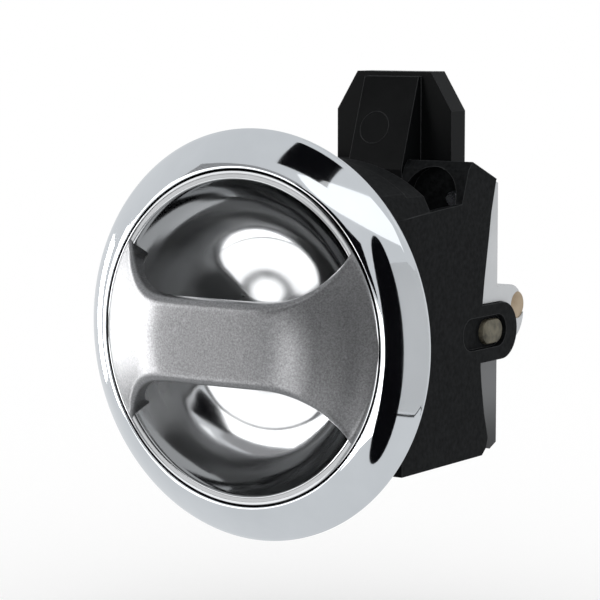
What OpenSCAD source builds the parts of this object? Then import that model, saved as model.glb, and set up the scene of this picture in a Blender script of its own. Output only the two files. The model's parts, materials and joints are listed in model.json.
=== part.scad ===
// Push-button lock: round finger bowl with an arched grip bar in a bright ring,
// a black body behind it and a spring bolt that the pushed button draws down.
// Millimetres. Origin on the ring's axis, in the plane that rests on the panel.
// +X to the right, +Y into the panel, +Z up.

/* [Bezel] */
// Outer diameter of the bright ring
ring_d = 70; // [60:0.5:80]
// How far the crest stands in front of the panel
crest_y = 5; // [3:0.1:7]
// Width of the bevel from the outer rim to the crest, where the ring meets the button
bevel_w = 6.5; // [5:0.1:8]
// Height of the cylindrical outer rim
rim_h = 0.7; // [0.3:0.1:1.5]

/* [Button] */
// Depth of the finger bowl behind the panel plane
bowl_deep = 5; // [2:0.5:8]
// Wall of the bowl
bowl_wall = 0.9; // [0.6:0.1:2]
// How far the bar's middle stands in front of the panel plane
bar_front = 13.5; // [10:0.1:16]
// Thickness of the bar in the middle
bar_thick = 3; // [2:0.1:5]
// Half height of the bar's waist
waist_h = 7.2; // [5:0.1:10]
// How far the button can be pushed
press = 4; // [2:0.5:5]

/* [Body] */
// Wall of the round collar behind the ring
collar_t = 0.9; // [0.7:0.1:1.5]
// Half width of the body between its two flats
flat_x = 19.5; // [16:0.1:24]
// Where the flats begin behind the round collar
flat_y = 7.6; // [5:0.1:10]
// Lowest plane of the bottom box
box_z = -24.7; // [-28:0.1:-20]
// Floor of the dark well on top
deck_z = 15; // [10:0.5:18]
// General wall of the body
wall = 1.5; // [1:0.1:3]

/* [Bolt] */
// Half width of the bolt's flange
bolt_x = 12.3; // [10:0.1:14]
// Front face of the flange
bolt_y = 42.75; // [40:0.05:45]
// Thickness of the flange
bolt_t = 4.6; // [3:0.1:6]
// Height of the bolt's tip
bolt_top = 43.8; // [35:0.1:50]
// Half width of the ramp block
ramp_x = 5.8; // [4:0.1:8]
// How far the pushed button draws the bolt down
draw = 6; // [3:0.5:7]

/* [Pivot] */
// Depth of the pivot pin's axis behind the panel
pivot_y = 47.5; // [45:0.1:50]
// Height of the pivot pin's axis
pivot_z = -2.6; // [-5:0.1:0]
// Radius of the pivot pin
pivot_r = 2.2; // [1.5:0.1:3]
// Length of the rocker's forward arm
arm_l = 12; // [9:0.5:13]
// Length of the rocker's lower arm
arm_low = 8; // [6:0.5:10]

/* [Fits] */
// Radial clearance of a turning or sliding fit
run = 0.05; // [0.02:0.01:0.1]
// Gap between two pieces that only touch
seat = 0.02; // [0.01:0.01:0.05]
// Gap beside a flat sliding face
slide = 0.15; // [0.1:0.01:0.3]
// Gap round a piece that moves free of its neighbour
free = 0.3; // [0.2:0.05:0.6]

/* [Hidden] */
ring_r = ring_d / 2;
crest_r = ring_r - bevel_w;
collar_r = crest_r + collar_t;
drum_r = collar_r - 0.2;
flange_r = collar_r + 2.8;
flange_y = -2.2;
screw_r = (collar_r + flange_r) / 2;
groove_in = flange_r + 0.6;
groove_out = ring_r - 0.6;
button_r = crest_r - free;
lip_y = crest_y - 0.1;
lip_r = button_r - 0.8;
bowl_r = lip_r - 0.2;
bowl_y = -lip_y + 1.7;
bowl_sag = bowl_deep - bowl_y;
bowl_ball = (pow(bowl_r, 2) + pow(bowl_sag, 2)) / (2 * bowl_sag);
seat_y = -2.2;
foot_r = button_r - 3.4;
foot_screw = button_r - 3;
foot_z = 5;
skirt_y = -0.6;
pocket_y = flat_y - 0.6;
bolt_back = bolt_y + bolt_t;
web_y = bolt_back + slide;
web_back = web_y + 2;
frame_x = 18.8;
frame_back = 48.2;
part_y = 15;
part_back = part_y + 3.5;
stem_r = 4;
prong_x = 7;
prong_z = pivot_z - arm_low;
nose_r = 2;
hub_r = 4;
hub_x = 8.4;
tip_r = 1.6;
hook_z = pivot_z - tip_r - 0.2;
core_z = pivot_z + hub_r + draw + 1.6;
shoulder_z = 14;
guide_top = shoulder_z - draw - 0.6;
ledge_z = 3.4;
strut_y = 31.8;
head_t = 2.8;
head_y = strut_y - 0.5 - press - head_t;
spring_x = 10.3;
ear_y = 49;
ear_z = -2.7;
ear_r = 5.15;
ear_x = 17;
slot_t = 1.2;
base_y0 = 19;
base_y1 = 38;
base_t = 1.5;
base_x = 16;
base_screw_x = base_x - 1.6;
base_screws = [base_y0 + 1.3, base_y1 - 1.3];
rear_t = 1.2;
rear_screws = [-20.4, 10.5];
rear_screw_x = 8.5;
cover_screw_l = 3;
grey_y = 52.4;
grey_z = 0.1;
grey_r = 5.2;
rear_y = 55.6;
rear_z = 1.3;
rear_r = 2.45;
recess_x = 12.3;
recess_z = 21.6;
recess_r = 5.6;
screw_x = 15.4;
low_z = -19.8;
fine = 96;
mid = 40;
small = 20;

black = [0.05, 0.05, 0.055];
bright = [0.82, 0.83, 0.85];
satin = [0.62, 0.63, 0.65];
grey = [0.7, 0.71, 0.72];
steel = [0.6, 0.61, 0.63];
tan_metal = [0.66, 0.52, 0.36];
rubber = [0.08, 0.08, 0.08];
nylon = [0.85, 0.84, 0.8];

// Helpers

// Profile (radius, depth) turned about the ring's axis
module turned(n = fine) {
    rotate([-90, 0, 0])
        rotate_extrude($fn = n)
            children();
}

// Outline in X and Z, from depth y0 to depth y1
module in_xz(y0, y1) {
    translate([0, y1, 0])
        rotate([90, 0, 0])
            linear_extrude(y1 - y0)
                children();
}

// Outline in Y and Z, from x0 to x1
module in_yz(x0, x1) {
    translate([x0, 0, 0])
        rotate([90, 0, 90])
            linear_extrude(x1 - x0)
                children();
}

module rod_y(x, z, y0, y1, r, n = mid) {
    translate([x, y0, z])
        rotate([-90, 0, 0])
            cylinder(r = r, h = y1 - y0, $fn = n);
}

module rod_x(y, z, x0, x1, r, n = mid) {
    translate([x0, y, z])
        rotate([0, 90, 0])
            cylinder(r = r, h = x1 - x0, $fn = n);
}

module rod_z(x, y, z0, z1, r, n = mid) {
    translate([x, y, z0])
        cylinder(r = r, h = z1 - z0, $fn = n);
}

module block(x0, x1, y0, y1, z0, z1) {
    translate([x0, y0, z0])
        cube([x1 - x0, y1 - y0, z1 - z0]);
}

module both_sides() {
    children();
    mirror([1, 0, 0])
        children();
}

// Shapes shared by more than one piece

// Front of the bowl at a radius
function bowl_front(r) = bowl_deep - (bowl_ball - sqrt(pow(bowl_ball, 2) - r * r));

// How the bar's waisted outline widens towards its ends
bar_flare = [[0, 0], [6, 0], [11, 0.1], [14, 0.6], [16.5, 1.6], [18.6, 3], [20.4, 4.8],
             [21.9, 6.9], [23, 9.2], [23.8, 11.8], [32, 11.8]];

module bar_outline(grow = 0) {
    edge = [for (p = bar_flare) [p[0], waist_h + p[1] + grow]];
    last = len(edge) - 1;
    polygon(concat([for (i = [0:last]) edge[i]],
                   [for (i = [last:-1:0]) [edge[i][0], -edge[i][1]]],
                   [for (i = [1:last]) -edge[i]],
                   [for (i = [last:-1:1]) [-edge[i][0], edge[i][1]]]));
}

// Rear edge of the black cheek, seen from the side
cheek_edge = [[42.2, -24.6], [43.6, -23.4], [44.2, -21.7], [42.8, -17], [41.9, -12],
              [41.5, -8.7], [41.6, 0], [42.1, 3.6], [42.6, 7], [44, 14.4], [44.8, 19],
              [46.4, 24.6]];

// Side of the black body behind the drum, from the bottom box to the cheek's peak
module cheek_side() {
    polygon(concat([[part_y + 0.7, box_z]], cheek_edge,
                   [[46.6, 24.8], [38.3, 28.2], [36.9, 26.8], [34.8, 20.9],
                    [27.4, 20.4], [part_y + 0.7, 19.4]]));
}

module grey_side(gap = 0.1) {
    polygon(concat([for (p = cheek_edge) if (p[1] > -24) p + [gap, 0]],
                   [[frame_back, 24], [frame_back, -23], [46, -24]]));
}

// Round ear with a neck towards the front
module ear(y, z, r, neck_y, x0, x1) {
    rod_x(y, z, x0, x1, r, fine);
    block(x0, x1, neck_y, y, z - r, z + r);
}

module coil(turns, r, wire, length) {
    sides = 5;
    steps = 14;
    last = turns * steps;
    points = [for (i = [0:last]) for (j = [0:sides - 1])
        let (a = i * 360 / steps, b = j * 360 / sides, c = r + wire * cos(b))
            [c * cos(a), c * sin(a), wire + (length - 2 * wire) * i / last + wire * sin(b)]];
    skin = [for (i = [0:last - 1]) for (j = [0:sides - 1])
        let (k = (j + 1) % sides, p = i * sides, q = p + sides)
            each [[p + j, q + j, q + k], [p + j, q + k, p + k]]];
    ends = [[for (j = [0:sides - 1]) j],
            [for (j = [0:sides - 1]) last * sides + sides - 1 - j]];
    polyhedron(points = points, faces = concat(skin, ends), convexity = 10);
}

// Front assembly

module bezel_ring() {
    color(bright)
        difference() {
            turned()
                polygon([[crest_r, 0], [crest_r, -crest_y + 0.25],
                         [crest_r + 0.25, -crest_y], [crest_r + 0.9, -crest_y],
                         [crest_r + 1.5, -crest_y + 0.25], [crest_r + 2.1, -crest_y + 0.75],
                         [ring_r - 2, -rim_h - 1.35], [ring_r - 0.5, -rim_h - 0.2],
                         [ring_r, -rim_h + 0.2], [ring_r, 0]]);
            turned()
                polygon([[crest_r - 1, 0.1], [flange_r + 0.05, 0.1], [flange_r + 0.05, flange_y],
                         [crest_r - 1, flange_y]]);
            turned()
                polygon([[groove_in, 0.1], [groove_out, 0.1], [groove_out, -0.9], [groove_in, -0.9]]);
            for (a = [45:90:315])
                rotate([0, a, 0])
                    rod_y(screw_r, 0, -3.3, 0.1, 0.75, small);
        }
}

module panel_gasket() {
    color(rubber)
        turned()
            polygon([[groove_in + 0.05, 0], [groove_out - 0.05, 0], [groove_out - 0.05, -0.85],
                     [groove_in + 0.05, -0.85]]);
}

module bezel_screws() {
    color(steel)
        for (a = [45:90:315])
            rotate([0, a, 0])
                difference() {
                    union() {
                        rod_y(screw_r, 0, -3.2, -0.6, 0.73, small);
                        rod_y(screw_r, 0, -0.65, -0.05, 1.1, small);
                    }
                    block(screw_r - 0.8, screw_r + 0.8, -0.3, 0.1, -0.15, 0.15);
                }
}

module finger_bowl() {
    rings = [for (i = [0:12]) bowl_r * i / 12];
    front = [for (r = rings) [r, bowl_front(r)]];
    back = [for (i = [12:-1:0]) [rings[i], bowl_front(rings[i]) + bowl_wall]];
    color(bright)
        difference() {
            union() {
                turned()
                    polygon(concat(front,
                        [[bowl_r + 0.1, bowl_y - 0.1], [lip_r, -3.5],
                         [button_r - 0.3, -lip_y], [button_r, -lip_y + 0.3],
                         [button_r, skirt_y], [bowl_r - 0.1, skirt_y]],
                        back));
                rod_y(0, 0, bowl_deep + 0.4, bowl_deep + bowl_wall + 1.1, 6);
                both_sides()
                    for (z = [-foot_z, foot_z])
                        rod_y(foot_screw, z, seat_y + 0.2, skirt_y + 0.6, 1.7, small);
            }
            in_xz(-8, seat_y)
                difference() {
                    bar_outline(0.15);
                    circle(r = foot_r - 0.06, $fn = fine);
                }
            rod_y(0, 0, 0, 8, 1.28, small);
            rod_y(0, 0, bowl_deep - 0.1, bowl_deep + 1, 2.6, small);
            both_sides()
                for (z = [-foot_z, foot_z])
                    rod_y(foot_screw, z, -4, 2, 0.85, small);
        }
}

module grip_bar() {
    y = -bar_front;
    t = bar_thick;
    front = [[0, y], [5, y + 0.1], [9, y + 0.35], [12.5, y + 0.8], [15.5, y + 1.6],
             [18, y + 2.7], [20.5, y + 4.1], [23.4, y + 5.8], [25.5, y + 7.1],
             [27.2, y + 8.1], [button_r - 0.15, -lip_y], [button_r - 0.05, -lip_y + 0.3]];
    back = [[button_r - 0.05, seat_y - seat], [foot_r, seat_y - seat], [foot_r - 0.3, -3.2],
            [23.4, -4.6], [21.4, -6.2], [19, -7.7], [16, -9.1], [12.5, -10],
            [9, y + t + 0.2], [5, y + t + 0.05], [0, y + t]];
    color(satin)
        difference() {
            intersection() {
                turned()
                    polygon(concat(front, back));
                in_xz(-20, 0)
                    bar_outline();
            }
            both_sides()
                for (z = [-foot_z, foot_z])
                    rod_y(foot_screw, z, -lip_y + 0.5, 0, 0.85, small);
        }
}

module bar_screws() {
    color(steel)
        both_sides()
            for (z = [-foot_z, foot_z])
                difference() {
                    union() {
                        rod_y(foot_screw, z, -lip_y + 0.6, 0.1, 0.82, small);
                        rod_y(foot_screw, z, skirt_y + 0.62, skirt_y + 1.5, 1.6, small);
                    }
                    block(foot_screw - 1.2, foot_screw + 1.2, skirt_y + 1.1, 3, z - 0.2, z + 0.2);
                }
}

module stem_screw() {
    color(steel)
        difference() {
            union() {
                rod_y(0, 0, bowl_deep + 0.9, 14, 1.25, small);
                rod_y(0, 0, bowl_deep - 0.3, bowl_deep + 0.98, 2.5, small);
            }
            rod_y(0, 0, bowl_deep - 0.4, bowl_deep + 0.4, 1.1, 6);
        }
}

module push_stem() {
    stem_y = bowl_deep + bowl_wall + 1.1 + seat;
    color(steel)
        difference() {
            union() {
                rod_y(0, 0, stem_y, head_y + 1, stem_r);
                rod_y(0, 0, part_back + 1.02, part_back + 2.4, 6.5);
                in_xz(head_y, head_y + head_t)
                    polygon([[-8.5, prong_z - nose_r], [8.5, prong_z - nose_r],
                             [8.5, prong_z + 3], [5.5, 5], [-5.5, 5], [-8.5, prong_z + 3]]);
                both_sides() {
                    block(prong_x - 1.5, prong_x + 1.5, head_y, pivot_y - nose_r - 2.1,
                          prong_z - nose_r, prong_z + nose_r);
                    rod_x(pivot_y - nose_r - 2.1, prong_z, prong_x - 1.5, prong_x + 1.5, nose_r);
                }
            }
            rod_y(0, 0, 5, 15, 1.28, small);
        }
}

module button_spring() {
    start = bowl_deep + bowl_wall + 0.1;
    color(steel)
        translate([0, start, 0])
            rotate([-90, 0, 0])
                coil(5, 8.2, 0.55, part_y - start - 0.05);
}

module stem_bushing() {
    color(nylon)
        difference() {
            union() {
                rod_y(0, 0, part_y - 1, part_back + seat, 5.5);
                rod_y(0, 0, part_back + seat, part_back + 1, 7);
            }
            rod_y(0, 0, 0, 30, stem_r + run);
        }
}

// Body

module drum(r, y0, y1) {
    in_xz(y0, y1)
        intersection() {
            circle(r = r, $fn = fine);
            polygon([[-flat_x, box_z], [-flat_x, 19.4], [-flat_x + 2.2, 23.6], [-flat_x + 2.2, 32],
                     [flat_x - 2.2, 32], [flat_x - 2.2, 23.6], [flat_x, 19.4],
                     [flat_x, box_z], [-flat_x, box_z]]);
        }
}

module housing_outside() {
    rod_y(0, 0, 0, flat_y, collar_r, fine);
    rod_y(0, 0, flange_y + seat, 0, flange_r, fine);
    drum(drum_r, flat_y - 0.1, 19.5);
    drum(drum_r - 0.3, 19.4, 25);
    in_yz(-flat_x, flat_x)
        cheek_side();
    both_sides()
        ear(ear_y, ear_z, ear_r, 40.5, ear_x, flat_x);
}

module bolt_pocket() {
    block(-ramp_x - slide, ramp_x + slide, 36.2, 60, 0, 50);
    block(-bolt_x - slide, bolt_x + slide, bolt_y - slide, 60, 0, 50);
}

module housing() {
    inner_x = flat_x - wall;
    color(black)
        difference() {
            housing_outside();
            rod_y(0, 0, -5, pocket_y, crest_r, fine);
            in_xz(pocket_y - 1, part_y)
                intersection() {
                    circle(r = drum_r - wall, $fn = fine);
                    square([2 * inner_x, 80], center = true);
                }
            rod_y(0, 0, part_y - 1, part_back + 0.1, 5.5 + seat);
            for (a = [45:90:315])
                rotate([0, a, 0]) {
                    rod_y(screw_r, 0, -4, 0.1, 0.75, small);
                    rod_y(screw_r, 0, -0.7, 0.1, 1.15, small);
                }
            block(-inner_x, inner_x, part_back, 34, -22.6, deck_z - wall);
            block(-13, 13, 33, 60, -22.6, 8.2);
            both_sides()
                block(12.9, ear_x, 40, 60, ear_z - ear_r - 2, ear_z + ear_r + 2);
            block(-13.9, 13.9, 33, 40.6, -22.6, deck_z - wall);
            block(-4.5, 4.5, 33, 40, 0, deck_z - wall);
            block(-inner_x, inner_x, 25, 34.4, deck_z, 40);
            in_yz(-inner_x, inner_x)
                polygon([[25, 19], [34.4, 19], [36.9, 28], [25, 30]]);
            bolt_pocket();
            both_sides() {
                rod_y(recess_x, recess_z, 30, 38.8, recess_r);
                rod_y(screw_x, recess_z, 38, 60, 1.27, small);
                rod_y(screw_x, low_z, 36, 60, 1.27, small);
                rod_x(pivot_y, pivot_z, 0, 30, pivot_r + seat);
                rod_x(pivot_y, ear_z + 0.2, flat_x - slot_t, flat_x + 1, 2.9);
                rod_x(38.4, ear_z + 0.2, flat_x - slot_t, flat_x + 1, 2.9);
                block(flat_x - slot_t, flat_x + 1, 38.4, pivot_y, ear_z - 2.7, ear_z + 3.1);
            }
            block(-base_x, base_x, base_y0, base_y1, box_z - 1, box_z + base_t);
            block(-13, 13, base_y0 + 2.5, base_y1 - 2.5, box_z - 1, -20);
            both_sides()
                for (y = base_screws)
                    rod_z(base_screw_x, y, box_z - 1, box_z + 4, 0.82, small);
        }
}

module back_frame() {
    color(grey)
        difference() {
            union() {
                in_yz(-frame_x, frame_x)
                    grey_side();
                block(-14, 14, frame_back - 1.5, web_back, -22.6, 24);
                both_sides()
                    ear(grey_y, grey_z, grey_r, 46.8, 14.2, frame_x);
                both_sides()
                    block(8.8, 12.4, 43, frame_back, 1.6, ledge_z);
            }
            both_sides() {
                ear(ear_y, ear_z, ear_r + 0.1, 40, ear_x - 0.1, 30);
                rod_x(pivot_y, pivot_z, 0, 30, pivot_r + seat);
                rod_x(rear_y, rear_z, 0, 30, rear_r + seat);
                rod_y(screw_x, recess_z, 30, 60, 1.27, small);
                rod_y(screw_x, recess_z, frame_back - 1, 60, 2.4, small);
                rod_y(screw_x, low_z, 30, 60, 1.27, small);
                rod_y(screw_x, low_z, frame_back - 1, 60, 2.4, small);
            }
            block(-13, 13, 30, web_y, -22.6, 1.6);
            block(-8.7, 8.7, 30, web_y, 1.5, 9);
            block(-8.7, 8.7, 30, 60, -18, 3.4);
            block(-13.2, 13.2, 30, 60, -9, 1.5);
            intersection() {
                bolt_pocket();
                block(-20, 20, 30, web_y, 3.4, 60);
            }
            both_sides()
                for (z = rear_screws)
                    rod_y(rear_screw_x, z, web_y - 1, 60, 0.82, small);
            both_sides()
                rod_z(spring_x, 45, 0, 3.5, 0.82, small);
        }
}

module frame_screws() {
    color(steel)
        both_sides()
            for (z = [recess_z, low_z])
                difference() {
                    union() {
                        rod_y(screw_x, z, 38, frame_back - 0.5, 1.25, small);
                        rod_y(screw_x, z, frame_back - 0.98, frame_back - 0.1, 2.3, small);
                    }
                    block(screw_x - 2, screw_x + 2, frame_back - 0.6, 60, z - 0.25, z + 0.25);
                }
}

module rear_cover() {
    color(black)
        difference() {
            union() {
                block(-12, 12, web_back + seat, web_back + rear_t, -22.4, 12.2);
                block(-10, 10, web_back + 0.5, 56.6, -19, 5);
            }
            block(-8.8, 8.8, 40, 55.6, -18, 4);
            block(-13, 13, 40, 51.2, pivot_z - 3.8, pivot_z + 3.8);
            both_sides()
                for (z = rear_screws)
                    rod_y(rear_screw_x, z, 40, 60, 0.82, small);
        }
}

module base_cover() {
    color(black)
        difference() {
            block(-base_x + 0.1, base_x - 0.1, base_y0 + 0.1, base_y1 - 0.1, box_z,
                  box_z + base_t - seat);
            both_sides()
                for (y = base_screws)
                    rod_z(base_screw_x, y, -30, 0, 0.82, small);
        }
}

module cover_screw() {
    difference() {
        union() {
            translate([0, 0, -cover_screw_l])
                cylinder(r = 0.8, h = cover_screw_l + 0.1, $fn = small);
            translate([0, 0, 0.02])
                cylinder(r = 1.2, h = 0.8, $fn = small);
        }
        translate([-1.5, -0.15, 0.5])
            cube([3, 0.3, 1]);
    }
}

module cover_screws() {
    color(steel)
        both_sides() {
            for (y = base_screws)
                translate([base_screw_x, y, box_z])
                    rotate([180, 0, 0])
                        cover_screw();
            for (z = rear_screws)
                translate([rear_screw_x, web_back + rear_t, z])
                    rotate([-90, 0, 0])
                        cover_screw();
        }
}

// Bolt and rocker

module bolt() {
    color(black)
        difference() {
            union() {
                in_xz(bolt_y, bolt_back)
                    polygon([[-bolt_x, shoulder_z], [bolt_x, shoulder_z], [bolt_x, 36.8],
                             [7.9, bolt_top], [-7.9, bolt_top], [-bolt_x, 36.8]]);
                in_yz(-ramp_x, ramp_x)
                    polygon([[bolt_y - 0.8, 42.9], [36.75, 27.7], [36.4, 26.5], [36.4, core_z],
                             [bolt_back, core_z], [bolt_back, 42.9]]);
                in_yz(-4, 4)
                    polygon([[36.8, core_z + 4], [strut_y, core_z + 4], [strut_y, hook_z - 2],
                             [38.8, hook_z - 2], [38.8, hook_z], [33.6, hook_z],
                             [33.6, core_z], [36.8, core_z]]);
            }
            both_sides()
                rod_z(spring_x, 45, shoulder_z - 1, shoulder_z + 1.5, 1.9, small);
        }
}

module bolt_springs() {
    color(steel)
        for (x = [-spring_x, spring_x])
            translate([x, 45, ledge_z + 0.02])
                coil(6, 1.2, 0.27, shoulder_z + 1.46 - ledge_z);
}

module spring_guides() {
    color(steel)
        both_sides()
            rod_z(spring_x, 45, 1.8, guide_top, 0.8, small);
}

module rocker() {
    color(steel)
        difference() {
            union() {
                rod_x(pivot_y, pivot_z, -hub_x, hub_x, hub_r);
                both_sides()
                    block(prong_x - 1.6, prong_x + 1.4, pivot_y - 2, pivot_y + 2,
                          pivot_z - arm_low - 3, pivot_z);
                block(-3, 3, pivot_y - arm_l, pivot_y, pivot_z - 1.3, pivot_z + 1.3);
                rod_x(pivot_y - arm_l, pivot_z, -3, 3, tip_r);
            }
            rod_x(pivot_y, pivot_z, -20, 20, pivot_r + run);
        }
}

module pivot_pin() {
    color(tan_metal)
        difference() {
            rod_x(pivot_y, pivot_z, -19.4, 18.9, pivot_r);
            difference() {
                rod_x(pivot_y, pivot_z, -19.1, -18.5, 3);
                rod_x(pivot_y, pivot_z, -19.3, -17, 1.7);
            }
        }
}

module pivot_spacers() {
    color(tan_metal)
        both_sides()
            difference() {
                rod_x(pivot_y, pivot_z, hub_x + 0.15, 12.8, 3.3);
                rod_x(pivot_y, pivot_z, 0, 20, pivot_r + seat);
            }
}

module pin_clip() {
    color(steel)
        difference() {
            rod_x(pivot_y, pivot_z, -19.05, -18.55, 2.8);
            rod_x(pivot_y, pivot_z, -20, -17, 1.72);
            block(-20, -17, pivot_y - 4, pivot_y, pivot_z - 1, pivot_z + 1);
        }
}

module rear_pin() {
    color(tan_metal)
        both_sides()
            union() {
                rod_x(rear_y, rear_z, 15.6, frame_x - 0.2, rear_r);
                rod_x(rear_y, rear_z, 15.2, 17.2, rear_r - 0.4);
            }
}

bezel_ring();
panel_gasket();
bezel_screws();
finger_bowl();
grip_bar();
bar_screws();
push_stem();
stem_screw();
button_spring();
stem_bushing();
housing();
back_frame();
frame_screws();
bolt();
bolt_springs();
spring_guides();
rocker();
pivot_pin();
pivot_spacers();
pin_clip();
rear_pin();
rear_cover();
base_cover();
cover_screws();
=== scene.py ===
import json
import math
import bpy
from mathutils import Matrix, Vector

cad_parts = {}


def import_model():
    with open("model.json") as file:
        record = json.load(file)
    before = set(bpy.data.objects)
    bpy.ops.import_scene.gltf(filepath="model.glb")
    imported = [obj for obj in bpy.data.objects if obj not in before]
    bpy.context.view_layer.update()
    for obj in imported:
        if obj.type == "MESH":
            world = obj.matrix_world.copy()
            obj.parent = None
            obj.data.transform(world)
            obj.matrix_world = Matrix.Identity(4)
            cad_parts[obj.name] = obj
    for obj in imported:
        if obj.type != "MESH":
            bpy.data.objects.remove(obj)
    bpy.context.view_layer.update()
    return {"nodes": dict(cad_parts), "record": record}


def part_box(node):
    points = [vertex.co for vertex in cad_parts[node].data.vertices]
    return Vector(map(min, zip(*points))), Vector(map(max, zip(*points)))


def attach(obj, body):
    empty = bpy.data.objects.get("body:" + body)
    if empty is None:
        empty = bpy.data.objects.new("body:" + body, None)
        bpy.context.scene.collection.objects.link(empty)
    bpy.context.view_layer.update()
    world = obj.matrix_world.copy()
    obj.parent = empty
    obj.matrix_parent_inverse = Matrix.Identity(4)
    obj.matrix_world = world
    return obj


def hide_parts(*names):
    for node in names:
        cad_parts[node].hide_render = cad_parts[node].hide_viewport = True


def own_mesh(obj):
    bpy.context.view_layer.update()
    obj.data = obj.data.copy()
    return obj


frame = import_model()
nodes = frame["nodes"]

MM = 0.001


# Node materials

BEVEL_SAMPLES = 6
FLAT_EDGE, BENT_EDGE = 0.99, 0.85  # cosines of rounded to true normal where the painted edge highlight starts, is full


def new_material(name):
    """A material with one shader, returned with its node tree and that shader."""
    mat = bpy.data.materials.new(name)
    mat.use_nodes = True
    tree = mat.node_tree
    tree.nodes.clear()
    out = tree.nodes.new("ShaderNodeOutputMaterial")
    shader = tree.nodes.new("ShaderNodeBsdfPrincipled")
    tree.links.new(shader.outputs["BSDF"], out.inputs["Surface"])
    return mat, tree, shader


def noise(tree, scale, detail=3.0, rough=0.6):
    """Noise in object space, in cells per metre."""
    coords = tree.nodes.new("ShaderNodeTexCoord")
    tex = tree.nodes.new("ShaderNodeTexNoise")
    tex.inputs["Scale"].default_value = scale
    tex.inputs["Detail"].default_value = detail
    tex.inputs["Roughness"].default_value = rough
    tree.links.new(coords.outputs["Object"], tex.inputs["Vector"])
    return tex.outputs["Fac"]


def spread(tree, value, low, high, start=0.3, end=0.7):
    """A value mapped from start..end to low..high."""
    node = tree.nodes.new("ShaderNodeMapRange")
    node.inputs["From Min"].default_value = start
    node.inputs["From Max"].default_value = end
    node.inputs["To Min"].default_value = low
    node.inputs["To Max"].default_value = high
    tree.links.new(value, node.inputs["Value"])
    return node.outputs["Result"]


def ramp(tree, value, dark, light, start=0.3, end=0.7):
    """A value turned into a colour between dark and light."""
    node = tree.nodes.new("ShaderNodeValToRGB")
    node.color_ramp.elements[0].position = start
    node.color_ramp.elements[1].position = end
    node.color_ramp.elements[0].color = (*dark, 1)
    node.color_ramp.elements[1].color = (*light, 1)
    tree.links.new(value, node.inputs["Fac"])
    return node.outputs["Color"]


def bump(tree, shader, height, depth, edge=0.0):
    """Relief of a depth in metres from a height value, with edges rounded by edge."""
    node = tree.nodes.new("ShaderNodeBump")
    node.inputs["Distance"].default_value = depth
    tree.links.new(height, node.inputs["Height"])
    if edge:
        soft = tree.nodes.new("ShaderNodeBevel")
        soft.samples = BEVEL_SAMPLES
        soft.inputs["Radius"].default_value = edge
        tree.links.new(soft.outputs["Normal"], node.inputs["Normal"])
    tree.links.new(node.outputs["Normal"], shader.inputs["Normal"])


def surface(name, dark, light, metal, rough, cloud=60, grain=2500, relief=4e-6,
            edge=0.0, gloss=0.5):
    """A material: colour clouds, roughness patches and a fine relief."""
    mat, tree, shader = new_material(name)
    shader.inputs["Metallic"].default_value = metal
    shader.inputs["Specular IOR Level"].default_value = gloss
    tree.links.new(ramp(tree, noise(tree, cloud, 4), dark, light), shader.inputs["Base Color"])
    tree.links.new(spread(tree, noise(tree, cloud * 2, 3), rough[0], rough[1]),
                   shader.inputs["Roughness"])
    bump(tree, shader, noise(tree, grain, 4, 0.65), relief, edge)
    return mat


def base_colour(tree):
    """A material's shader, and the socket that its colour comes from."""
    shader = next(n for n in tree.nodes if n.type == "BSDF_PRINCIPLED")
    return shader, shader.inputs["Base Color"].links[0].from_socket


def number_from(vector_math):
    """The socket of a vector maths node that gives a number."""
    return next(o for o in vector_math.outputs if o.enabled and o.name == "Value")


def paint_shade(mat, axes, near, far, share, radial=False):
    """Paint shade into a colour: darken it to a share of itself from near to far, in millimetres.

    The distance is taken along axes, or radially in the plane that axes keeps.
    """
    tree = mat.node_tree
    shader, old = base_colour(tree)
    coords = tree.nodes.new("ShaderNodeTexCoord")
    mask = tree.nodes.new("ShaderNodeVectorMath")
    mask.operation = "MULTIPLY" if radial else "DOT_PRODUCT"
    mask.inputs[1].default_value = axes
    tree.links.new(coords.outputs["Object"], mask.inputs[0])
    if radial:
        length = tree.nodes.new("ShaderNodeVectorMath")
        length.operation = "LENGTH"
        tree.links.new(mask.outputs["Vector"], length.inputs[0])
        mask = length
    along = tree.nodes.new("ShaderNodeMapRange")
    along.interpolation_type = "SMOOTHSTEP"
    along.inputs["From Min"].default_value = near * MM
    along.inputs["From Max"].default_value = far * MM
    along.inputs["To Min"].default_value = 1
    along.inputs["To Max"].default_value = share
    tree.links.new(number_from(mask), along.inputs["Value"])
    scale = tree.nodes.new("ShaderNodeVectorMath")
    scale.operation = "SCALE"
    tree.links.new(old, scale.inputs[0])
    tree.links.new(along.outputs["Result"], scale.inputs["Scale"])
    tree.links.new(scale.outputs["Vector"], shader.inputs["Base Color"])


def paint_edge_highlights(mat, width, colour):
    """Paint highlights along a moulded material's edges by lightening its colour there."""
    tree = mat.node_tree
    shader, old = base_colour(tree)
    bevel = tree.nodes.new("ShaderNodeBevel")
    bevel.samples = BEVEL_SAMPLES
    bevel.inputs["Radius"].default_value = width
    face = tree.nodes.new("ShaderNodeNewGeometry")
    same = tree.nodes.new("ShaderNodeVectorMath")
    same.operation = "DOT_PRODUCT"
    tree.links.new(bevel.outputs["Normal"], same.inputs[0])
    tree.links.new(face.outputs["True Normal"], same.inputs[1])
    share = tree.nodes.new("ShaderNodeMapRange")
    share.inputs["From Min"].default_value = FLAT_EDGE
    share.inputs["From Max"].default_value = BENT_EDGE
    tree.links.new(number_from(same), share.inputs["Value"])
    mix = tree.nodes.new("ShaderNodeMix")
    mix.data_type = "RGBA"
    mix.inputs["B"].default_value = (*colour, 1)
    tree.links.new(share.outputs["Result"], mix.inputs["Factor"])
    tree.links.new(old, mix.inputs["A"])
    tree.links.new(mix.outputs["Result"], shader.inputs["Base Color"])


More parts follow.
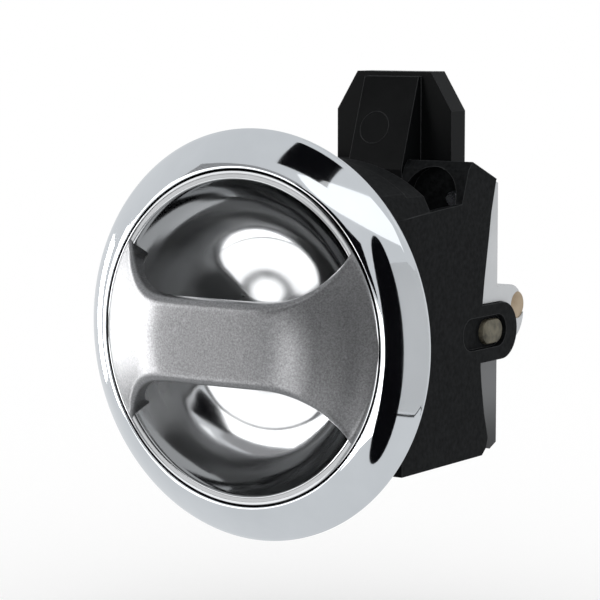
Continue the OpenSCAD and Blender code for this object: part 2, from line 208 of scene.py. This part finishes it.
def satin_chrome():
    """Satin plate with the fine light and dark grain of the bar."""
    mat, tree, shader = new_material("satin chrome")
    shader.inputs["Metallic"].default_value = 1.0
    grain = noise(tree, 3200, 4, 0.75)
    tree.links.new(ramp(tree, grain, (0.14, 0.14, 0.143), (0.3, 0.3, 0.305), 0.32, 0.68),
                   shader.inputs["Base Color"])
    tree.links.new(spread(tree, noise(tree, 3000, 3), 0.34, 0.4), shader.inputs["Roughness"])
    bump(tree, shader, noise(tree, 4000, 4, 0.75), 1.5e-5)
    return mat


chrome = surface("bright chrome", (0.58, 0.6, 0.62), (0.65, 0.67, 0.69), 1.0, (0.03, 0.07),
                 cloud=45, grain=900, relief=6e-7)
bar_back = surface("bar back", (0.42, 0.415, 0.41), (0.56, 0.555, 0.55), 1.0, (0.26, 0.36),
                   cloud=120, grain=1800, relief=1e-5)
bowl_chrome = surface("bowl chrome", (0.56, 0.57, 0.58), (0.64, 0.65, 0.66), 1.0, (0.08, 0.13),
                      cloud=45, grain=2200, relief=8e-7)
# Painted shade: the bowl's colour is darkened to half towards its rim.
paint_shade(bowl_chrome, (1, 0, 1), 20, 26, 0.5, radial=True)
pin_end = surface("pin end", (0.035, 0.032, 0.022), (0.2, 0.18, 0.13), 0.6, (0.4, 0.6),
                  cloud=500, grain=2600, relief=3e-5)
MATERIALS = {
    "bright_chrome": chrome,
    "satin_chrome": satin_chrome(),
    "black_plastic": surface("black plastic", (0.0025, 0.0029, 0.0032),
                             (0.0105, 0.0113, 0.012), 0.0, (0.42, 0.56), cloud=1300,
                             grain=2600, relief=3e-5, edge=3e-4, gloss=0.03),
    "bolt_plastic": surface("bolt plastic", (0.002, 0.0023, 0.0025), (0.004, 0.0044, 0.0047),
                            0.0, (0.3, 0.42), grain=2000, relief=6e-6, edge=3e-4, gloss=0.06),
    "grey_frame": surface("grey frame", (0.45, 0.46, 0.47), (0.56, 0.57, 0.58), 0.35,
                          (0.38, 0.52), grain=1800, relief=1e-5, edge=2e-4),
    "tan_pin": surface("tan pin", (0.3, 0.22, 0.14), (0.5, 0.41, 0.3), 0.8, (0.35, 0.55),
                       cloud=220, grain=2400, relief=1.2e-5),
    "cast_zinc": surface("cast zinc", (0.4, 0.41, 0.42), (0.52, 0.53, 0.54), 1.0, (0.4, 0.55),
                         grain=1500, relief=1.5e-5),
    "screw_steel": surface("screw steel", (0.5, 0.52, 0.56), (0.64, 0.66, 0.7), 1.0,
                           (0.2, 0.34), cloud=300, grain=2500, relief=4e-6),
    "spring_steel": surface("spring steel", (0.36, 0.37, 0.38), (0.5, 0.51, 0.52), 1.0,
                            (0.22, 0.36), cloud=300, grain=2500, relief=4e-6),
    "white_nylon": surface("white nylon", (0.74, 0.73, 0.69), (0.82, 0.81, 0.77), 0.0,
                           (0.35, 0.5), grain=1500, relief=5e-6),
    "black_rubber": surface("black rubber", (0.02, 0.02, 0.02), (0.03, 0.03, 0.03), 0.0,
                            (0.65, 0.8), grain=1800, relief=2e-5),
}
# Painted highlight: the black plastics' colour is lightened along all their edges, convex and
# concave.
for slot in ("black_plastic", "bolt_plastic"):
    paint_edge_highlights(MATERIALS[slot], 2.5e-4, (0.05, 0.052, 0.054))
# Painted shade: the grey frame's colour is darkened towards its bottom, to a quarter and at the
# bottom to about 4% of itself.
paint_shade(MATERIALS["grey_frame"], (0, 0, -1), 4, 9, 0.25)
paint_shade(MATERIALS["grey_frame"], (0, 0, -1), 12, 24, 0.15)

for part in frame["record"]["subparts"]:
    mesh = nodes[part["node"]].data
    mesh.materials.clear()
    mesh.materials.append(MATERIALS[part["material_slot"]])


# Mesh helpers

SHARP_ANGLE = math.radians(35)


def add_mesh(name, points, faces, slot, body):
    """A smooth piece with sharp corners from points in millimetres, riding on a body."""
    mesh = bpy.data.meshes.new(name)
    mesh.from_pydata([Vector(p) * MM for p in points], [], faces)
    mesh.validate()
    mesh.materials.append(MATERIALS[slot])
    obj = bpy.data.objects.new(name, mesh)
    bpy.context.scene.collection.objects.link(obj)
    mesh.shade_smooth()
    mesh.set_sharp_from_angle(angle=SHARP_ANGLE)
    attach(obj, body)
    return obj


def lathe(name, profile, slot, body, steps):
    """A closed profile of (radius, depth) turned about the lock's axis."""
    points, faces = [], []
    count = len(profile)
    for i in range(steps):
        a = 2 * math.pi * i / steps
        points += [(r * math.cos(a), y, r * math.sin(a)) for r, y in profile]
    for i in range(steps):
        for j in range(count):
            a, b = i * count, (i + 1) % steps * count
            k = (j + 1) % count
            faces.append((a + j, a + k, b + k, b + j))
    return add_mesh(name, points, faces, slot, body)


def arc(cx, cy, r, a0, a1, steps):
    """Points of an arc in a profile, angles in degrees."""
    angles = [math.radians(a0 + (a1 - a0) * i / steps) for i in range(steps + 1)]
    return [(cx + r * math.cos(a), cy + r * math.sin(a)) for a in angles]


# Sizes in millimetres, read from the frame apart from the crest's radius

ring_low, ring_high = [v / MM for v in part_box("bezel_ring")]
bar_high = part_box("grip_bar")[1] / MM
bowl_low, bowl_high = [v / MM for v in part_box("finger_bowl")]
RING_R = ring_high.x
CREST_Y = ring_low.y
CREST_R = 28.5
BUTTON_R = bowl_high.x
LIP_Y = bowl_low.y
BAR_END = bar_high.x


# Front pieces in full detail

def bezel_ring():
    """Convex cone bevel with a rounded crest and a thin outer rim."""
    crest, rim = 0.22, 0.2
    inner, outer = CREST_R + 0.3, RING_R - rim
    back, edge = -0.02, -0.75
    straight, curved = 0.62, 0.38
    profile = [(CREST_R, back), (CREST_R, CREST_Y + 0.3)]
    profile += arc(CREST_R + crest, CREST_Y + crest, crest, 180, 285, 6)
    steps = 12
    for i in range(1, steps + 1):
        t = i / steps
        y = CREST_Y + (edge - CREST_Y) * (straight * t + curved * t * t)
        profile.append((inner + t * (outer - inner), y))
    profile += arc(outer, -0.3, rim, -60, 0, 4)
    profile += [(RING_R, back)]
    ring = lathe("ring", profile, "bright_chrome", "lock_body", 320)
    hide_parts("bezel_ring")


BOWL_EDGE = BUTTON_R - 1.6  # radius at the inside of the lip
BOWL_BEND = 14              # radius at which the floor turns into the wall
BOWL_STEP = 0.25            # depth of the wall's edge behind the lip
BOWL_WALL = 0.35
BOWL_CROWN = 8              # steepest slope of the floor, in degrees
BOWL_LEAN = 59.4            # slope of the wall at its edge, in degrees
LEAN_POWER = 1.1
RIPPLE, RIPPLE_RATE = 1.2, 34


def bowl_profile():
    """Points of the bowl's polished front: a slightly crowned floor and a steep wall."""
    steps, heights = 90, [0.0]
    for i in range(1, steps + 1):
        r = BOWL_EDGE * (i - 0.5) / steps
        if r < BOWL_BEND:
            lean = -BOWL_CROWN * math.sin(math.pi * r / BOWL_BEND)
        else:
            rise = (r - BOWL_BEND) / (BOWL_EDGE - BOWL_BEND)
            lean = BOWL_LEAN * rise ** LEAN_POWER + RIPPLE * math.sin(RIPPLE_RATE * rise) * rise
        heights.append(heights[-1] - math.tan(math.radians(lean)) * BOWL_EDGE / steps)
    shift = LIP_Y + BOWL_STEP - heights[-1]
    return [(max(BOWL_EDGE * i / steps, 0.01), y + shift) for i, y in enumerate(heights)]


def finger_bowl():
    """Polished dish with a bright flat lip round it and a short skirt behind the lip."""
    edge, lip, skirt = BOWL_EDGE, LIP_Y, -0.6
    front = bowl_profile()
    profile = list(front)
    profile += [(edge + 0.12, lip + 0.12), (edge + 0.35, lip + 0.03), (BUTTON_R - 0.9, lip),
                (BUTTON_R - 0.2, lip), (BUTTON_R - 0.06, lip + 0.06), (BUTTON_R, lip + 0.25),
                (BUTTON_R, skirt), (edge + BOWL_WALL, skirt)]
    profile += [(r, y + BOWL_WALL) for r, y in reversed(front)]
    bowl = lathe("bowl", profile, "bright_chrome", "button", 280)
    bowl.data.materials[0] = bowl_chrome
    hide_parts("finger_bowl")


def blend_points(table, x):
    """Smooth curve through a table of (x, value) pairs."""
    if x <= table[0][0]:
        return table[0][1]
    for i in range(len(table) - 1):
        (x0, y0), (x1, y1) = table[i], table[i + 1]
        if x <= x1:
            left = table[i - 1] if i else (2 * x0 - x1, 2 * y0 - y1)
            right = table[i + 2] if i + 2 < len(table) else (2 * x1 - x0, 2 * y1 - y0)
            m0 = (y1 - left[1]) / (x1 - left[0])
            m1 = (right[1] - y0) / (right[0] - x0)
            h = x1 - x0
            t = (x - x0) / h
            return ((2 * t ** 3 - 3 * t ** 2 + 1) * y0 + (t ** 3 - 2 * t ** 2 + t) * h * m0
                    + (3 * t ** 2 - 2 * t ** 3) * y1 + (t ** 3 - t ** 2) * h * m1)
    return table[-1][1]


# Half height of the bar along it, and the depth of its front and back by radius
WAIST = [(-6, 7.2), (0, 7.2), (6, 7.2), (11, 7.3), (14, 7.8), (16.5, 8.8), (18.6, 10.2),
         (20.4, 12), (21.9, 14.1), (23, 16.4), (23.8, 19), (29, 30)]
BAR_FRONT = [(-5, -13.4), (0, -13.5), (5, -13.4), (9, -13.15), (12.5, -12.7), (15.5, -11.9),
             (18, -10.8), (20.5, -9.4), (23.4, -7.7), (25.5, -6.4), (27.2, -5.4), (28.2, -4.8)]
BAR_BACK = [(-5, -10.45), (0, -10.5), (5, -10.45), (9, -10.3), (12.5, -10), (16, -9.1),
            (19, -7.7), (21.4, -6.2), (23.4, -4.6), (24.4, -3.4), (24.8, -2.25), (29, -2.25)]


def grip_bar():
    """Arched bar whose wings widen to the rim, with rounded edges."""
    fillet, inset, least = 1.7, 0.15, 0.05
    rows, across, turn = 170, 26, 5
    points, faces = [], []
    for i in range(rows + 1):
        x = -BAR_END * math.cos(math.pi * i / rows)
        half = min(blend_points(WAIST, abs(x)),
                   math.sqrt(max(BAR_END ** 2 - x * x, 0)) + 0.02)
        e = min(fillet, half * 0.4)
        row = []
        for j in range(across + 1):
            z = (half - e) * (2 * j / across - 1)
            row.append((x, blend_points(BAR_FRONT, math.hypot(x, z)), z))
        top = blend_points(BAR_FRONT, math.hypot(x, half - e))
        side = [(half - e + e * math.sin(math.pi / 2 * k / turn),
                 top + e * (1 - math.cos(math.pi / 2 * k / turn))) for k in range(1, turn + 1)]
        low = max(blend_points(BAR_BACK, math.hypot(x, half)), top + e + least)
        back = [((half - inset) * (1 - 2 * k / across),
                 max(blend_points(BAR_BACK, math.hypot(x, half * (1 - 2 * k / across))),
                     top + e + least)) for k in range(across + 1)]
        row += [(x, y, z) for z, y in side]
        row += [(x, low - least, half)]
        row += [(x, y, z) for z, y in back]
        row += [(x, low - least, -half)]
        row += [(x, y, -z) for z, y in reversed(side)]
        points += row
    count = len(points) // (rows + 1)
    for i in range(rows):
        for j in range(count):
            k = (j + 1) % count
            faces.append((i * count + j, (i + 1) * count + j, (i + 1) * count + k, i * count + k))
    faces.append(tuple(range(count)))
    faces.append(tuple(rows * count + j for j in reversed(range(count))))
    bar = add_mesh("bar", points, faces, "satin_chrome", "button")
    bar.data.materials.append(bar_back)
    first, last = across + 1 + turn, 2 * (across + 1) + turn
    for i in range(rows):
        for j in range(first, last):
            bar.data.polygons[i * count + j].material_index = 1
    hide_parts("grip_bar")


PIN_R, PIN_FRONT, PIN_REAR, PIN_Z = 2.25, 44.9, 47.5, -2.6


def pin_stub():
    """Worn domed oval end of the pivot pin, standing in the right ear's slot."""
    rings = [(1.0, 18.2), (1.0, 18.85), (0.93, 19.1), (0.75, 19.24), (0.4, 19.3)]
    points, faces, n = [], [], 48
    for share, x in rings:
        for i in range(n):
            turn = 2 * math.pi * i / n
            y = PIN_R * share * math.cos(turn)
            y += PIN_REAR if y > 0 else PIN_FRONT
            points.append((x, y, PIN_Z + PIN_R * share * math.sin(turn)))
    for k in range(len(rings) - 1):
        for i in range(n):
            j = (i + 1) % n
            faces.append((k * n + i, k * n + j, (k + 1) * n + j, (k + 1) * n + i))
    faces.append(tuple(range((len(rings) - 1) * n, len(rings) * n)))
    faces.append(tuple(reversed(range(n))))
    stub = add_mesh("pin_stub", points, faces, "tan_pin", "lock_body")
    stub.data.materials[0] = pin_end


def coil(turns, radius, wire, length, points, faces, place):
    """Add one coil spring to a mesh; place turns its own (x, y, z) into the part's."""
    sides, steps = 10, 36
    first, last = len(points), turns * steps
    for i in range(last + 1):
        turn = 2 * math.pi * i / steps
        for j in range(sides):
            side = 2 * math.pi * j / sides
            r = radius + wire * math.cos(side)
            z = wire + (length - 2 * wire) * i / last + wire * math.sin(side)
            points.append(place(r * math.cos(turn), r * math.sin(turn), z))
    for i in range(last):
        for j in range(sides):
            k = (j + 1) % sides
            a = first + i * sides
            faces.append((a + j, a + sides + j, a + sides + k, a + k))
    faces.append(tuple(first + j for j in range(sides)))
    faces.append(tuple(first + last * sides + sides - 1 - j for j in range(sides)))


def springs():
    """The button's spring and the bolt's two."""
    points, faces = [], []
    front = 6.1
    coil(5, 8.2, 0.55, 8.85, points, faces, lambda x, y, z: (x, front + z, -y))
    button = add_mesh("button_coil", points, faces, "spring_steel", "lock_body")
    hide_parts("button_spring")
    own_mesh(button)
    points, faces = [], []
    depth, foot = 45, 3.42
    for side in (-10.3, 10.3):
        coil(6, 1.2, 0.27, 12.04, points, faces,
             lambda x, y, z: (side + x, depth + y, foot + z))
    bolt = add_mesh("bolt_coils", points, faces, "spring_steel", "lock_body")
    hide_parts("bolt_springs")
    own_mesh(bolt)


def ejector_mark():
    """Round moulding mark on the slope of the bolt's ramp block."""
    low_edge, high_edge = Vector((0, 36.75, 27.7)), Vector((0, 41.95, 42.9))
    along = (high_edge - low_edge).normalized()
    across = Vector((1, 0, 0))
    out = along.cross(across).normalized()
    out = out if out.y < 0 else -out
    centre = low_edge + along * 6.4 + Vector((-1.6, 0, 0))
    radius, wide, proud = 3, 0.09, 0.06
    points, faces, steps, sides = [], [], 64, 8
    for i in range(steps):
        a = 2 * math.pi * i / steps
        ray = across * math.cos(a) + along * math.sin(a)
        for j in range(sides):
            b = 2 * math.pi * j / sides
            points.append(centre + ray * (radius + wide * math.cos(b))
                          + out * proud * math.sin(b))
    for i in range(steps):
        for j in range(sides):
            a, b, k = i * sides, (i + 1) % steps * sides, (j + 1) % sides
            faces.append((a + j, b + j, b + k, a + k))
    add_mesh("ejector_mark", points, faces, "bolt_plastic", "bolt")


bezel_ring()
finger_bowl()
grip_bar()
ejector_mark()
pin_stub()
springs()


# Stage: floor, backdrop and light

REACH = 0.9          # distance of the cards from the origin, in metres
LAMP_REACH = 0.88
OVAL_CORNERS = 60


def stage_plane(name, centre, size, normal, colour, oval=False):
    """A flat matt plane facing along normal, a rectangle or an oval."""
    mesh = bpy.data.meshes.new(name)
    w, h = size[0] / 2, size[1] / 2
    corners = [(-w, -h, 0), (w, -h, 0), (w, h, 0), (-w, h, 0)]
    if oval:
        turns = [2 * math.pi * i / OVAL_CORNERS for i in range(OVAL_CORNERS)]
        corners = [(w * math.cos(t), h * math.sin(t), 0) for t in turns]
    mesh.from_pydata(corners, [], [tuple(range(len(corners)))])
    obj = bpy.data.objects.new(name, mesh)
    obj.location = centre
    obj.rotation_euler = Vector(normal).to_track_quat("Z", "Y").to_euler()
    bpy.context.scene.collection.objects.link(obj)
    mat, _, shader = new_material(name)
    shader.inputs["Base Color"].default_value = (*colour, 1)
    shader.inputs["Roughness"].default_value = 0.9
    shader.inputs["Specular IOR Level"].default_value = 0
    mesh.materials.append(mat)
    return obj


def toward(azimuth, height):
    """Direction in degrees: azimuth from the front to the right, height above the floor."""
    a, h = math.radians(azimuth), math.radians(height)
    return Vector((math.sin(a) * math.cos(h), -math.cos(a) * math.cos(h), math.sin(h)))


def span(degrees):
    """Size of a card at the studio's reach that covers an angle."""
    return 2 * REACH * math.tan(math.radians(degrees) / 2)


def card(name, azimuth, height, wide, tall, colour, oval=False):
    """A card that only the polished faces see, angles in degrees."""
    way = toward(azimuth, height)
    obj = stage_plane(name, way * REACH, (span(wide), span(tall)), -way, colour, oval)
    obj.visible_camera = False
    obj.visible_diffuse = False
    obj.visible_shadow = False


def softbox(name, azimuth, height, wide, tall, glow):
    """A lamp for gloss alone, angles in degrees, glow as a mirror shows it."""
    data = bpy.data.lights.new(name, "AREA")
    data.shape = "RECTANGLE"
    data.size, data.size_y = span(wide), span(tall)
    data.energy = glow * math.pi * data.size * data.size_y
    obj = bpy.data.objects.new(name, data)
    way = toward(azimuth, height)
    obj.location = way * LAMP_REACH
    obj.rotation_euler = way.to_track_quat("Z", "Y").to_euler()
    obj.visible_camera = False
    obj.visible_diffuse = False
    bpy.context.scene.collection.objects.link(obj)


def world():
    """White backdrop and soft white light, with a slightly darker room in the reflections."""
    scene_world = bpy.data.worlds.new("room")
    bpy.context.scene.world = scene_world
    scene_world.use_nodes = True
    scene_world.cycles.sampling_method = "NONE"
    tree = scene_world.node_tree
    tree.nodes.clear()
    out = tree.nodes.new("ShaderNodeOutputWorld")
    mix = tree.nodes.new("ShaderNodeMixShader")
    path = tree.nodes.new("ShaderNodeLightPath")
    room = tree.nodes.new("ShaderNodeBackground")
    white = tree.nodes.new("ShaderNodeBackground")
    room.inputs["Color"].default_value = (0.96, 0.98, 1, 1)
    room.inputs["Strength"].default_value = 0.9
    white.inputs["Color"].default_value = (1, 1, 1, 1)
    white.inputs["Strength"].default_value = 1.0
    tree.links.new(path.outputs["Is Glossy Ray"], mix.inputs["Fac"])
    tree.links.new(white.outputs["Background"], mix.inputs[1])
    tree.links.new(room.outputs["Background"], mix.inputs[2])
    tree.links.new(mix.outputs["Shader"], out.inputs["Surface"])


CAM_AZIMUTH, CAM_HEIGHT = 35.09, 6.42
CAM_DISTANCE = 422.5 * MM
CAM_RIGHT, CAM_UP = 7.57 * MM, 6.02 * MM
SENSOR = 36
FOCAL_PIXELS, FRAME_PIXELS = 2500, 600


def camera():
    """The camera of the photograph, from the fitted angle and distance."""
    back = toward(CAM_AZIMUTH, CAM_HEIGHT)
    turn = math.radians(CAM_AZIMUTH)
    right = Vector((math.cos(turn), math.sin(turn), 0))
    up = back.cross(right)
    data = bpy.data.cameras.new("camera")
    data.sensor_width = SENSOR
    data.lens = SENSOR * FOCAL_PIXELS / FRAME_PIXELS
    data.clip_start = 0.01
    obj = bpy.data.objects.new("camera", data)
    facing = Matrix((right, up, back)).transposed().to_4x4()
    place = back * CAM_DISTANCE + right * CAM_RIGHT + up * CAM_UP
    obj.matrix_world = Matrix.Translation(place) @ facing
    bpy.context.scene.collection.objects.link(obj)
    bpy.context.scene.camera = obj


world()
camera()
floor = stage_plane("floor", (0, 0, -0.06), (6, 6), (0, 0, 1), (1, 1, 1))
floor.visible_glossy = False
BLACK = (0.004, 0.004, 0.005)
card("dark_above", -17, 63, 22, 27, BLACK)
card("dark_right", 29, -8, 22, 86, BLACK, oval=True)
card("grey_right", 64, -2, 56, 60, (0.7, 0.71, 0.72))
card("dark_upper", -6, 17, 36, 22, BLACK)
card("grey_top", -42, 31, 40, 11, (0.4, 0.4, 0.41))
card("dark_line", 62, -33, 52, 1, BLACK)
card("dark_front", -37, -5, 36, 32, (0.2, 0.2, 0.205), oval=True)
softbox("top_right", 22, 46, 54, 18, 0.7)
softbox("front", -36, -8, 20, 22, 1.7)
softbox("high_front", -44, 15, 40, 18, 2.1)
softbox("low_front", -46, -29, 42, 16, 2.1)
softbox("left", -73, -4, 24, 30, 8)
softbox("far_left", -102, -4, 10, 20, 9)
softbox("right", 5, -17, 24, 38, 3.2)

view = bpy.context.scene.view_settings
view.view_transform = "Standard"
